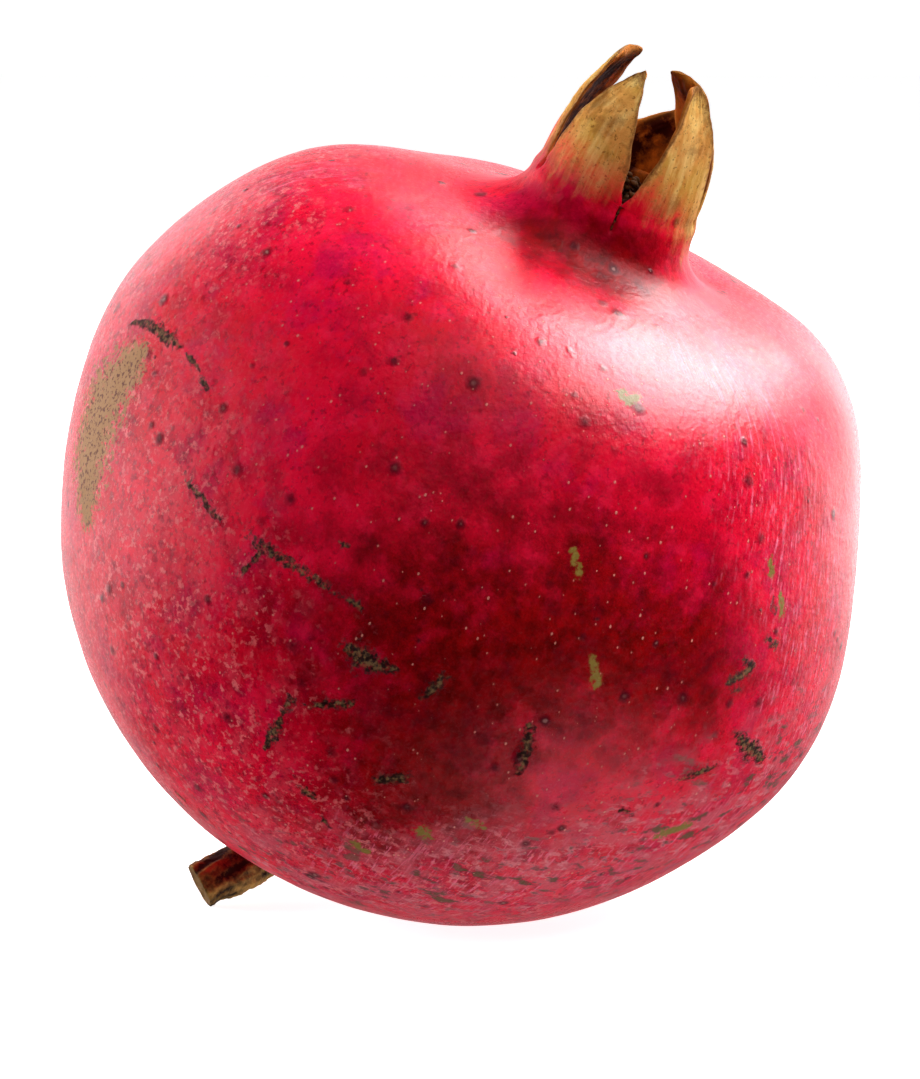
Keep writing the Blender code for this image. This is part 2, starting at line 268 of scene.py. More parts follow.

# %% [markdown]
# ### Zones of the skin
# The finish changes over the fruit: a dark cheek, partly the skin's own ripe red and partly
# painted shade, coral flecks on the side that grew in the shade, pale growth lines that run from
# crown to stem, and dull russet near the stem. The same kind of chain places these zones, only
# tens of times wider.

# %% Chains of zones
ZONES = {
    # The cheek is partly painted shade: its first chain darkens the front, which faces the dark side of
    # the room, and its second darkens the front of the neck, which lies in shade.
    "cheek_and_shade": (
        ((108.0, 6.0, 21.0), (86.0, 4.0, 32.0), (76.0, 20.0, 23.0), (77.0, 36.0, 17.0)),
        ((16.0, -20.0, 10.0), (16.0, 10.0, 13.0), (16.0, 28.0, 10.0)),
        ((75.0, -160.0, 20.0), (95.0, 170.0, 26.0)),
    ),
    "fleck": (
        (
            (84.0, -84.0, 22.0), (92.0, -56.0, 28.0), (112.0, -38.0, 30.0),
            (132.0, -6.0, 24.0), (122.0, 34.0, 18.0),
        ),
        ((32.0, -150.0, 12.0), (44.0, -110.0, 17.0), (54.0, -74.0, 17.0)),
        ((70.0, 120.0, 18.0), (110.0, 150.0, 26.0)),
        ((80.0, -140.0, 18.0), (120.0, -120.0, 24.0)),
    ),
    "lines": (
        (
            (30.0, 40.0, 10.0), (46.0, 44.0, 12.0), (60.0, 58.0, 15.0),
            (74.0, 66.0, 15.0), (96.0, 68.0, 16.0),
        ),
        ((104.0, 58.0, 15.0), (116.0, 38.0, 14.0), (128.0, 10.0, 16.0)),
        ((50.0, 150.0, 16.0), (90.0, 130.0, 18.0), (130.0, 160.0, 22.0)),
        ((40.0, -80.0, 9.0), (62.0, -84.0, 10.0), (80.0, -84.0, 8.0)),
    ),
    "russet": (
        ((94.0, 66.0, 15.0), (108.0, 46.0, 17.0), (122.0, 22.0, 15.0), (140.0, -10.0, 16.0)),
        ((150.0, 90.0, 26.0), (150.0, -150.0, 30.0)),
    ),
}


def nearness(places, chains):
    """1 on the middle of the nearest chain, 0 at its edge and down to -1 beyond it."""
    best = np.full(places.shape[:-1], -1.0)
    for chain in chains:
        angles = np.array(chain)
        spots = direction(angles[:, 0], angles[:, 1]) * rind_radius(angles[:, 0], angles[:, 1])[:, None]
        for start, end, first, last in zip(spots, spots[1:], angles[:, 2], angles[1:, 2]):
            step = end - start
            share = np.clip((places - start) @ step / (step @ step), 0.0, 1.0)
            gap = np.linalg.norm(places - start - share[..., None] * step, axis=-1)
            best = np.maximum(best, 1.0 - gap / (first + (last - first) * share))
    return np.maximum(best, -1.0)


# %% [markdown]
# ## The rind, neck and cup as one skin
# The body, the neck and the crown's tube grow as one, so they are one mesh: rings stacked from the
# stem end up to the crown, over the rim and down into the cup. Each ring has the same number of
# points, so one function makes all the faces. The neck is a Bezier curve that leaves the body
# along its slope and enters the tube upright.

# %% Rings of the skin
COLUMNS = 420
NECK_RINGS, RIM_RINGS = 34, 7
NECK_POLAR = 24.0
TUBE_RADIUS, TUBE_START = 10.4, 46.6
RIM_RADIUS, RIM_HEIGHT = 9.9, 48.7
WALL = 1.5
CUP_FLOOR = 41.5
# Where one sepal ends and the next begins, as azimuths, and the height where each crack ends.
CLEFTS = {-69.7: 47.0, 4.2: 45.2, 76.8: 47.6, 148.0: 47.4, 217.0: 47.0}


def skin_rings():
    """Every ring of the skin, from the stem end into the cup, and the number of the rim's ring."""
    azimuth = np.arange(COLUMNS) * 360.0 / COLUMNS
    polar = np.append(np.linspace(179.6, 176.0, 5), np.arange(175.0, NECK_POLAR - 0.01, -0.92))
    polar[-1] = NECK_POLAR
    radius = rind_radius(polar[:, None], azimuth[None, :])
    turn = np.radians(polar)[:, None]
    reach, height = radius * np.sin(turn), radius * np.cos(turn)

    edge = rind_radius(np.array([[NECK_POLAR + 6.0]]), azimuth[None, :])[0]
    slope = math.radians(NECK_POLAR + 6.0)
    before = np.stack([edge * math.sin(slope), edge * math.cos(slope)])
    start = np.stack([reach[-1], height[-1]])
    inward = (start - before) / np.linalg.norm(start - before, axis=0)
    # The bend where the neck leaves the body is tighter on the right, and tightest in front.
    tight = 1.2 * np.cos(np.radians(azimuth - 112.0))
    corner = 2.4 * bump((azimuth - 12.0 + 180.0) % 360.0 - 180.0, 42.0)
    tube = np.stack([np.full(COLUMNS, TUBE_RADIUS), np.full(COLUMNS, TUBE_START)])
    first_handle = start + inward * (3.6 + tight + corner)
    second_handle = tube - np.stack([np.zeros(COLUMNS), 4.2 + 0.4 * tight])
    step = np.linspace(0.0, 1.0, NECK_RINGS + 1)[1:, None, None]
    neck = bezier(start, first_handle, second_handle, tube, step)
    reach, height = np.vstack([reach, neck[:, 0]]), np.vstack([height, neck[:, 1]])

    # Up the tube, over its lip, down the inside and across the floor of the cup.
    share = np.linspace(0.0, 1.0, RIM_RINGS + 1)[1:]
    eased = share * share * (3.0 - 2.0 * share)
    tube_reach = TUBE_RADIUS + (RIM_RADIUS - TUBE_RADIUS) * eased
    wall = list(zip(tube_reach, TUBE_START + (RIM_HEIGHT - TUBE_START) * share))
    inner, lip, depth = RIM_RADIUS - WALL, RIM_HEIGHT + 0.02, RIM_HEIGHT - CUP_FLOOR
    wall += [(RIM_RADIUS - 0.3, lip), (inner + 0.3, lip), (inner, RIM_HEIGHT - 0.2)]
    wall += [(inner - 0.9 * s, RIM_HEIGHT - depth * s) for s in np.linspace(0.1, 0.9, 8)]
    wall += [(inner - 0.9 - 1.2 * s, CUP_FLOOR + 0.6 - 0.9 * s) for s in np.linspace(0, 1, 5)]
    wall += [((inner - 2.1) * (1 - s), CUP_FLOOR - 0.3 + 0.8 * s) for s in np.linspace(0.15, 0.97, 8)]
    for wall_reach, wall_height in wall:
        reach = np.vstack([reach, np.full(COLUMNS, wall_reach)])
        height = np.vstack([height, np.full(COLUMNS, wall_height)])
    around = np.radians(azimuth)[None, :]
    rim_ring = len(polar) + NECK_RINGS + RIM_RINGS - 1
    return np.stack([reach * np.cos(around), reach * np.sin(around), height], -1), rim_ring


def azimuth_gap(places, azimuth):
    """Degrees round the axis from each place to an azimuth."""
    own = np.degrees(np.arctan2(places[..., 1], places[..., 0]))
    return (own - azimuth + 180.0) % 360.0 - 180.0


def cracks(places):
    """1 in the cracks that run down the tube from the clefts; the front one is the longest."""
    depth = np.zeros(places.shape[:-1])
    for cleft, foot in CLEFTS.items():
        gap = np.radians(azimuth_gap(places, cleft)) * RIM_RADIUS + 0.16 * wander(places, 1.4, 5)
        depth = np.maximum(depth, bump(gap, 0.26) * soft_step(foot, foot + 0.8, places[..., 2]))
    return depth


def relief(places, cork, tan):
    """Millimetres that the skin stands proud of its formula: undulations, wrinkles and cork."""
    height = places[..., 2]
    polar = np.degrees(np.arccos(np.clip(height / np.linalg.norm(places, axis=-1), -1.0, 1.0)))
    azimuth = np.arctan2(places[..., 1], places[..., 0])
    raised = 0.20 * wander(places, 13.0, 1) + 0.050 * wander(places, 4.5, 2)
    raised = raised + 0.020 * wander(places, 2.2, 3)
    stretched = np.stack([np.cos(azimuth) * 11.0, np.sin(azimuth) * 11.0, height * 0.25], -1)
    folds = wander(stretched, 1.7, 4)
    raised = raised * soft_step(24.0, 34.0, polar) + 0.05 * folds * soft_step(32.0, 22.0, polar)
    raised = raised * soft_step(RIM_HEIGHT, RIM_HEIGHT - 2.5, height)
    raised = raised - 0.7 * cracks(places)
    crust = soft_step(-0.1, 0.5, cork + 0.3 * wander(places, 1.3, 6))
    raised = raised + crust * (0.12 + 0.16 * wander(places, 0.9, 7))
    return raised + soft_step(0.0, 0.6, tan) * 0.10 * wander(places, 1.2, 8)


skin, rim_ring = skin_rings()
cork = np.maximum(nearness(skin, CORK_SCARS), 1.8 * cracks(skin) - 1.0)
tan_patch = nearness(skin, TAN_PATCH)
olive = nearness(skin, OLIVE_SCABS)
zones = {name: nearness(skin, chains) for name, chains in ZONES.items()}
rings = len(skin)
outside = soft_step(rim_ring + 2.0, rim_ring, np.arange(rings, dtype=float))[:, None] * np.ones(COLUMNS)
skin = skin + ring_normals(skin) * (relief(skin, cork, tan_patch) * outside)[..., None]
print("skin rings:", rings, "rim ring:", rim_ring)

# %% [markdown]
# ### The flat spot
# The fruit's weight presses a small flat spot into the rind. Points that would be below the table
# are lifted onto it, with a rounded edge a fraction of a millimetre wide.

# %% Flat spot and the skin's object
TABLE_EDGE = 0.25


def rest_on_table(places):
    """The same places, with none of them below the table."""
    turn = np.array(lean.to_3x3())
    world = places @ turn.T + np.array(CENTRE) / MM
    low = world[..., 2]
    world[..., 2] = 0.5 * (low + np.sqrt(low**2 + TABLE_EDGE**2)) * (low < 4.0) + low * (low >= 4.0)
    return (world - np.array(CENTRE) / MM) @ turn


skin = rest_on_table(skin)
points = np.vstack([skin.reshape(-1, 3), skin[0].mean(0), skin[-1].mean(0)])
faces = ring_faces(rings, COLUMNS)
last_ring = (rings - 1) * COLUMNS
for column in range(COLUMNS):
    beside = (column + 1) % COLUMNS
    faces.append((beside, column, rings * COLUMNS))
    faces.append((last_ring + column, last_ring + beside, rings * COLUMNS + 1))


def with_poles(values, low, high):
    """The masks of every ring, then those of the two closing points."""
    return np.append(np.ravel(values), [low, high])


rind = grown_piece(
    "rind",
    points,
    faces,
    {
        "cork": with_poles(cork, -1.0, -1.0),
        "tan": with_poles(tan_patch, -1.0, -1.0),
        "olive": with_poles(olive, -1.0, -1.0),
        **{name: with_poles(zone, -1.0, -1.0) for name, zone in zones.items()},
        "inside": with_poles(1.0 - outside, 0.0, 1.0),
        "margin": np.zeros(rings * COLUMNS + 2),
    },
    {rim_ring},
    COLUMNS,
)

# %% [markdown]
# ## Sepals
# The sepals are what is left of the flower: thick and leathery at the foot, thin and brown at the
# margin, each dried into its own shape. A sheet with a Solidify modifier has the same thickness
# everywhere, so each sepal here is a stack of closed lens-shaped rings instead, which can thin out
# toward the margin and round off at the tip. The lowest ring stands on the tube's rim.

# %% Shape of each sepal
SEPAL_ROWS, SEPAL_RING = 64, 72
SEPAL_THICKNESS = 1.5
ROUNDED_TIP = 0.07
# Both cleft azimuths, middle azimuth, tip radius and height, sideways drift, tip width share, belly,
# bluntness of the left and right margins, outward curl of the margins, twist.
SEPALS = {
    "sepal_front_left": (-69.7, 4.2, -33.0, 5.4, 63.3, 0.1, 0.04, 0.9, 1.8, 2.0, 0.1, 0.0),
    "sepal_front_right": (4.2, 76.8, 41.0, 5.0, 63.8, 0.1, 0.12, 0.6, 1.2, 2.0, 0.5, 0.0),
    "sepal_right": (76.8, 148.0, 112.0, 2.8, 63.2, 0.4, 0.50, 0.9, 2.2, 2.6, -0.2, -1.4),
    "sepal_back": (148.0, 217.0, 181.0, 8.4, 57.6, -4.8, 0.08, 0.2, 1.8, 0.8, 0.3, 0.0),
    "sepal_left": (-143.0, -69.7, -106.0, 5.9, 63.7, -0.4, 0.68, 0.5, 3.2, 3.2, 0.1, 0.3),
}


def sepal_sheet(spec, along, side):
    """Places on a sepal's outer face: along runs from foot to tip, side from -1 to 1 across."""
    left, right, middle, tip_radius, tip_height, drift = spec[:6]
    tip_share, belly, blunt_left, blunt_right, curl, twist = spec[6:]
    ragged = 1.0 + 0.035 * np.sin(along * 23.0 + middle + 2.0 * np.sign(side)) * along
    blunt = np.where(side < 0.0, blunt_left, blunt_right)
    width = tip_share + (1.0 - tip_share) * (1.0 - along**blunt)
    width = width * (1.0 + (ragged - 1.0) * np.abs(side))
    half = np.where(side < 0.0, middle - left, right - middle)
    foot = np.minimum(half, 34.0) + (half - np.minimum(half, 34.0)) * soft_step(0.12, 0.0, along)
    turn = np.radians(foot) * side
    reach = RIM_RADIUS + (tip_radius - RIM_RADIUS) * along**1.4
    reach = reach + 1.1 * belly * np.sin(np.pi * along**1.3)
    reach = reach + curl * side**4 * soft_step(0.1, 0.8, along) + twist * side * along
    reach = reach - RIM_RADIUS * (1.0 - np.cos(turn)) * width**2
    across = RIM_RADIUS * np.sin(turn) * width + drift * along**2
    height = RIM_HEIGHT + (tip_height - RIM_HEIGHT) * along
    azimuth = math.radians(middle)
    outward = np.array([math.cos(azimuth), math.sin(azimuth), 0.0])
    sideways = np.array([-math.sin(azimuth), math.cos(azimuth), 0.0])
    upward = np.array([0.0, 0.0, 1.0])
    return reach[..., None] * outward + across[..., None] * sideways + height[..., None] * upward


def make_sepal(name, seed):
    """One sepal: lens-shaped rings around the sheet, rounded at the tip."""
    spec = SEPALS[name]
    along = np.linspace(0.0, 1.0, SEPAL_ROWS)[:, None] ** 0.9 + np.zeros(SEPAL_RING)
    angle = np.linspace(0.0, math.tau, SEPAL_RING, endpoint=False)[None, :] + 0.0 * along
    near_tip = np.clip(1.0 - (1.0 - along) / ROUNDED_TIP, 0.0, 1.0)
    tip = np.maximum(np.sqrt(1.0 - near_tip**2), 0.04)
    side = -np.cos(angle) * tip
    sheet = sepal_sheet(spec, along, side)
    step = 1e-3
    above, below = np.minimum(along + step, 1.0), np.maximum(along - step, 0.0)
    rise = sepal_sheet(spec, above, side) - sepal_sheet(spec, below, side)
    spread = sepal_sheet(spec, along, side + step) - sepal_sheet(spec, along, side - step)
    outward = np.cross(spread, rise)
    outward = outward / np.linalg.norm(outward, axis=-1, keepdims=True)
    thick = SEPAL_THICKNESS * (0.30 + 0.70 * (1.0 - side**2)) * (1.0 - 0.45 * along) * tip
    face = np.sin(0.5 * np.pi * np.clip(np.sin(angle) / 0.4, -1.0, 1.0))
    places = sheet + outward * (thick * (0.5 * face - 0.5))[..., None]
    grain = np.stack([side * 7.0, along * 2.4, face], -1)
    dry = soft_step(0.05, 0.5, along)
    ridges = 0.16 * wander(grain, 0.9, seed) + 0.07 * wander(places, 0.8, seed + 20)
    ridges = ridges + 0.16 * wander(places, 3.4, seed + 40)
    places = places + ring_normals(places) * (ridges * dry * tip)[..., None]
    count = SEPAL_ROWS * SEPAL_RING
    faces = ring_faces(SEPAL_ROWS, SEPAL_RING)
    faces.append(list(range(SEPAL_RING))[::-1])
    faces.append(list(range(count - SEPAL_RING, count)))
    margin = np.abs(side) ** 6 * soft_step(0.05, 0.35, along)
    masks = {mark: np.full(count, -1.0) for mark in ("cork", "tan", "olive", *ZONES)}
    masks["inside"] = soft_step(0.2, -0.4, np.sin(angle))
    masks["margin"] = np.maximum(margin, 0.8 * soft_step(0.80, 1.0, along))
    return grown_piece(name + "_skin", places, faces, masks, {0}, SEPAL_RING)


sepals = {name: make_sepal(name, seed) for seed, name in enumerate(SEPALS, 10)}

# %% [markdown]
# ## Stamens
# The cup still holds the flower's stamens, dried to a brown tangle. Hair curves would be quick to
# draw but hard to export, so each stamen is a thin tapering tube, bent at random toward the
# middle, with a small pollen sac at its end.

# %% Tubes along a path
def tube_places(path, radii, sides):
    """Rings of points around a path, which all face one way, so the tube never twists.

    radii has one number for each ring, or one for each point of each ring.
    """
    ahead = np.gradient(path, axis=0)
    ahead = ahead / np.linalg.norm(ahead, axis=1, keepdims=True)
    first = np.cross(ahead, np.array([0.31, 0.87, 0.38]))
    first = first / np.linalg.norm(first, axis=1, keepdims=True)
    second = np.cross(ahead, first)
    angle = np.linspace(0.0, math.tau, sides, endpoint=False)[:, None]
    ring = np.cos(angle) * first[:, None] + np.sin(angle) * second[:, None]
    return path[:, None] + ring * radii.reshape(len(path), -1, 1)


# %% Stamens
STAMEN_COUNT = 120
STAMEN_SIDES = 6
THREAD_RINGS = 9
SAC_LENGTH = 0.9
SAC_RADII = (0.26, 0.34, 0.33, 0.22, 0.04)

chance = np.random.default_rng(7)
stamen_points, stamen_faces, sac_mask = [], [], []
for stamen in range(STAMEN_COUNT):
    turn = math.tau * (stamen * 0.618 % 1.0)
    root_radius = chance.uniform(4.2, 7.4)
    top_radius = root_radius * chance.uniform(0.15, 0.95)
    # The outer threads start a little higher, where the cup's floor turns up into its wall.
    root_height = CUP_FLOOR + 0.2 + max(0.0, root_radius - 6.0) * 2.5
    top_height = chance.uniform(45.5, 49.5)
    sway = chance.uniform(-0.5, 0.5)
    along = np.linspace(0.0, 1.0, THREAD_RINGS)
    bend = along**1.6
    reach = root_radius + (top_radius - root_radius) * bend
    heading = turn + sway * along**2 + 0.25 * np.sin(along * 6.0 + turn * 3.0) * along
    height = root_height + (top_height - root_height) * np.sin(along * 1.35) / math.sin(1.35)
    path = np.stack([reach * np.cos(heading), reach * np.sin(heading), height], -1)
    ahead = (path[-1] - path[-2]) / np.linalg.norm(path[-1] - path[-2])
    sac = path[-1] + ahead * SAC_LENGTH * np.linspace(0.1, 1.0, len(SAC_RADII))[:, None]
    path = np.vstack([path, sac])
    radii = np.append(np.linspace(0.20, 0.12, THREAD_RINGS), SAC_RADII)
    start = sum(len(block) for block in stamen_points)
    stamen_points.append(tube_places(path, radii, STAMEN_SIDES).reshape(-1, 3))
    stamen_faces += (start + np.array(ring_faces(len(path), STAMEN_SIDES))).tolist()
    in_sac = np.arange(len(path)) >= THREAD_RINGS
    sac_mask.append(np.repeat(in_sac.astype(float), STAMEN_SIDES))
stamens = grown_piece(
    "stamen_tuft", np.vstack(stamen_points), stamen_faces, {"sac": np.concatenate(sac_mask)}
)

# %% [markdown]
# ## Stem
# The stem is a broken-off bit of twig. Its bark has ridges that run along it and dark hollows
# between them, and its end is a shallow, slightly hollow break with a pale rim of bark. A tube
# along a Bezier curve gives the bend; noise that is stretched along the tube gives the bark.

# %% Stem
STEM_DIRECTION = Vector((-23.0, 10.1, -38.5)).normalized()
STEM_SINK, STEM_RISE = 0.8, 5.0
STEM_BEND = Vector((-29.0, 3.4, -41.9))
STEM_TIP = Vector((-31.9, 2.6, -43.35))
STEM_FOOT_RADIUS, STEM_TIP_RADIUS = 3.3, 2.55
STEM_SIDES, STEM_ROWS = 96, 90

upright = lean.to_3x3().inverted()
outward = upright @ STEM_DIRECTION
stem_polar = math.degrees(math.acos(outward.z))
stem_azimuth = math.degrees(math.atan2(outward.y, outward.x))
stem_reach = float(rind_radius(np.array(stem_polar), np.array(stem_azimuth)))
root = np.array(outward * (stem_reach - STEM_SINK))
rise = np.array(outward * (stem_reach + STEM_RISE))
bend, end = np.array(upright @ STEM_BEND), np.array(upright @ STEM_TIP)
along = np.linspace(0.0, 1.0, STEM_ROWS)
path = bezier(root, rise, bend, end, along[:, None])
around, onward = np.meshgrid(np.linspace(0.0, math.tau, STEM_SIDES, endpoint=False), along)
bark_place = np.stack([np.cos(around) * 2.6, np.sin(around) * 2.6, onward * 3.2], -1)
ridge = wander(bark_place, 1.0, 60)
bark = 0.28 * ridge + 0.22 * wander(bark_place * [1, 1, 2.2], 0.7, 61)
bark = bark + 0.10 * wander(bark_place * [1, 1, 4.0], 0.35, 62)
# It tapers, and swells a little at its foot and at the break.
radii = STEM_FOOT_RADIUS + (STEM_TIP_RADIUS - STEM_FOOT_RADIUS) * along**1.4
radii = radii + 0.33 * bump(along - 1.0, 0.12) + 0.35 * bump(along, 0.12)
stem_places = tube_places(path, radii[:, None] + bark, STEM_SIDES)
tip_axis = (path[-1] - path[-2]) / np.linalg.norm(path[-1] - path[-2])
cap = []
for share in (0.90, 0.76, 0.60, 0.44, 0.28, 0.12):
    ring = path[-1] + (stem_places[-1] - path[-1]) * share
    dip = 0.55 * (1.0 - share) ** 0.6 + 0.10 * wander(ring, 0.7, 63)
    cap.append(ring - tip_axis * dip[:, None])
stem_places = np.vstack([stem_places, np.array(cap)])
count = stem_places.shape[0] * STEM_SIDES
stem_faces = ring_faces(stem_places.shape[0], STEM_SIDES)
stem_faces.append(list(range(STEM_SIDES))[::-1])
stem_faces.append(list(range(count - STEM_SIDES, count)))
bark_mask = np.vstack([ridge, np.zeros((len(cap), STEM_SIDES))])
cut_mask = np.repeat((np.arange(stem_places.shape[0]) >= STEM_ROWS).astype(float), STEM_SIDES)
stem_masks = {"ridge": bark_mask, "cut": cut_mask}
stem = grown_piece("stem_bark", stem_places, stem_faces, stem_masks, {STEM_ROWS}, STEM_SIDES)

# %% [markdown]
# ## Colours and nodes
# Hex colours are stored for screens, so one function turns them to the linear values that Blender
# mixes light with. One more function adds a shader node: a value that is an output socket is
# linked, anything else is set. Sockets go by name or by number: 1 to 4 of Map Range are its range
# in and its range out, and 6 and 7 of Mix are its two colours.

# %% Helpers for materials
def linear(hex_colour):
    """A hex colour such as #C01020 as linear red, green, blue and alpha."""
    parts = [int(hex_colour[start : start + 2], 16) / 255.0 for start in (1, 3, 5)]
    curved = [p / 12.92 if p <= 0.04045 else ((p + 0.055) / 1.055) ** 2.4 for p in parts]
    return (*curved, 1.0)


def put(tree, kind, sockets, **settings):
    """Add one shader node with its settings, and fill or link its sockets."""
    made = tree.nodes.new("ShaderNode" + kind)
    for name, value in settings.items():
        setattr(made, name, value)
    for key, value in sockets.items():
        if isinstance(value, bpy.types.NodeSocket):
            tree.links.new(value, made.inputs[key])
        else:
            made.inputs[key].default_value = value
    return made


def fruit_place(tree):
    """The shaded point in the fruit's upright frame, in millimetres, so a Scale is 1 / size."""
    leaning = put(tree, "TexCoord", {}).outputs["Object"]
    straight = {"Vector": leaning, "Location": lean.translation, "Rotation": lean.to_euler()}
    upright_place = put(tree, "Mapping", straight, vector_type="TEXTURE").outputs[0]
    return put(tree, "VectorMath", {0: upright_place, "Scale": 1000.0}, operation="SCALE").outputs[0]


# %% [markdown]
# ## Waxy rind that dries to leather
# The real rind is a leathery skin under a thin natural wax. It is deep red, mottled with coral
# where it is thinner, and dotted with lenticels, the pores it breathes through. Toward the stem it
# is dull with fine brown russet. Up the crown the red gives way to tan leather. One material does
# rind and sepals, because they grow as one skin and the colour runs on from one to the other.

# %% Flecks and specks of the rind
# Each layer is noise that shows where it rises above a threshold: grain size in mm, detail, first
# and full threshold, amount, zone, pattern and colour. "spots" are round, "lines" stretches the
# grain down the fruit and "bands" stretches it across.
RIND_LAYERS = (
    (5.0, 6.0, 0.47, 0.61, 0.50, "all", "spots", "#AC002C"),
    (8.0, 7.0, 0.50, 0.60, 0.45, "all", "spots", "#B4004C"),
    (3.0, 8.0, 0.52, 0.60, 0.50, "all", "spots", "#FC1A48"),
    (3.5, 8.0, 0.50, 0.57, 0.60, "fleck", "spots", "#F03A50"),
    (1.0, 4.0, 0.56, 0.60, 0.75, "fleck", "spots", "#FC7A7C"),
    (1.4, 6.0, 0.55, 0.61, 0.60, "fleck", "spots", "#94002C"),
    (0.45, 2.0, 0.57, 0.63, 0.80, "lines", "lines", "#FF7090"),
    (0.80, 3.0, 0.59, 0.67, 0.50, "lines", "lines", "#A80024"),
    (0.80, 4.0, 0.57, 0.65, 0.60, "all", "spots", "#8C0018"),
    (2.5, 8.0, 0.46, 0.57, 0.65, "russet", "bands", "#DC5C6A"),
    (0.9, 5.0, 0.53, 0.60, 0.65, "russet", "bands", "#F08A92"),
    (1.8, 7.0, 0.54, 0.61, 0.75, "russet", "bands", "#6A1838"),
    (1.8, 7.0, 0.58, 0.63, 0.80, "russet", "bands", "#6A5230"),
)


